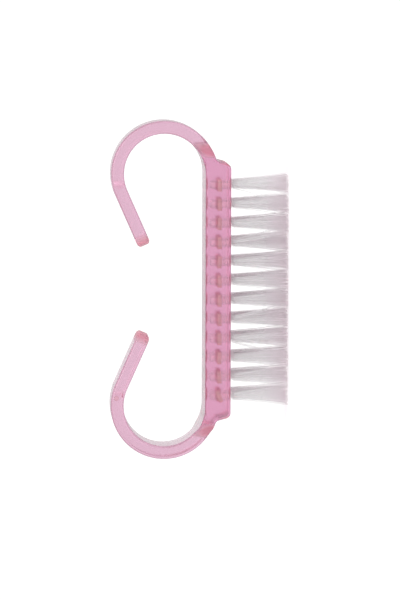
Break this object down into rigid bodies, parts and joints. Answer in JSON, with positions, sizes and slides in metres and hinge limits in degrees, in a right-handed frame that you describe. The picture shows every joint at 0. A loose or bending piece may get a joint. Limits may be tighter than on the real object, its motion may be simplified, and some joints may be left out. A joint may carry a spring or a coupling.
{
  "type": "nail brush",
  "caption": "Nail brush: a clear pink moulded bar with a hooked handle curling back from each end and rows of folded nylon tufts held by wire anchors.",
  "frame": {"origin": "centre of the bottom of the bounding box, on the plane of the bristle tips", "axes": "+X along the bar from one hook to the other, +Y across the bar, +Z from the bristle tips up to the hooks"},
  "size_m": [0.065, 0.016, 0.034],
  "materials": {
    "clear_pink_styrene": "clear tinted moulded polystyrene, glossy",
    "nylon_bristle": "fine translucent white nylon filament, trimmed flat",
    "anchor_wire": "plain cut wire"
  },
  "bodies": {
    "root": {"handle_body": "clear_pink_styrene", "bristle_anchors": "anchor_wire", "tuft_row_01_column_1": "nylon_bristle", "tuft_row_01_column_2": "nylon_bristle", "tuft_row_01_column_3": "nylon_bristle", "tuft_row_01_column_4": "nylon_bristle", "tuft_row_02_column_1": "nylon_bristle", "tuft_row_02_column_2": "nylon_bristle", "tuft_row_02_column_3": "nylon_bristle", "tuft_row_02_column_4": "nylon_bristle", "tuft_row_03_column_1": "nylon_bristle", "tuft_row_03_column_2": "nylon_bristle", "tuft_row_03_column_3": "nylon_bristle", "tuft_row_03_column_4": "nylon_bristle", "tuft_row_04_column_1": "nylon_bristle", "tuft_row_04_column_2": "nylon_bristle", "tuft_row_04_column_3": "nylon_bristle", "tuft_row_04_column_4": "nylon_bristle", "tuft_row_05_column_1": "nylon_bristle", "tuft_row_05_column_2": "nylon_bristle", "tuft_row_05_column_3": "nylon_bristle", "tuft_row_05_column_4": "nylon_bristle", "tuft_row_06_column_1": "nylon_bristle", "tuft_row_06_column_2": "nylon_bristle", "tuft_row_06_column_3": "nylon_bristle", "tuft_row_06_column_4": "nylon_bristle", "tuft_row_07_column_1": "nylon_bristle", "tuft_row_07_column_2": "nylon_bristle", "tuft_row_07_column_3": "nylon_bristle", "tuft_row_07_column_4": "nylon_bristle", "tuft_row_08_column_1": "nylon_bristle", "tuft_row_08_column_2": "nylon_bristle", "tuft_row_08_column_3": "nylon_bristle", "tuft_row_08_column_4": "nylon_bristle", "tuft_row_09_column_1": "nylon_bristle", "tuft_row_09_column_2": "nylon_bristle", "tuft_row_09_column_3": "nylon_bristle", "tuft_row_09_column_4": "nylon_bristle", "tuft_row_10_column_1": "nylon_bristle", "tuft_row_10_column_2": "nylon_bristle", "tuft_row_10_column_3": "nylon_bristle", "tuft_row_10_column_4": "nylon_bristle", "tuft_row_11_column_1": "nylon_bristle", "tuft_row_11_column_2": "nylon_bristle", "tuft_row_11_column_3": "nylon_bristle", "tuft_row_11_column_4": "nylon_bristle", "tuft_row_12_column_1": "nylon_bristle", "tuft_row_12_column_2": "nylon_bristle", "tuft_row_12_column_3": "nylon_bristle", "tuft_row_12_column_4": "nylon_bristle"}
  },
  "joints": []
}
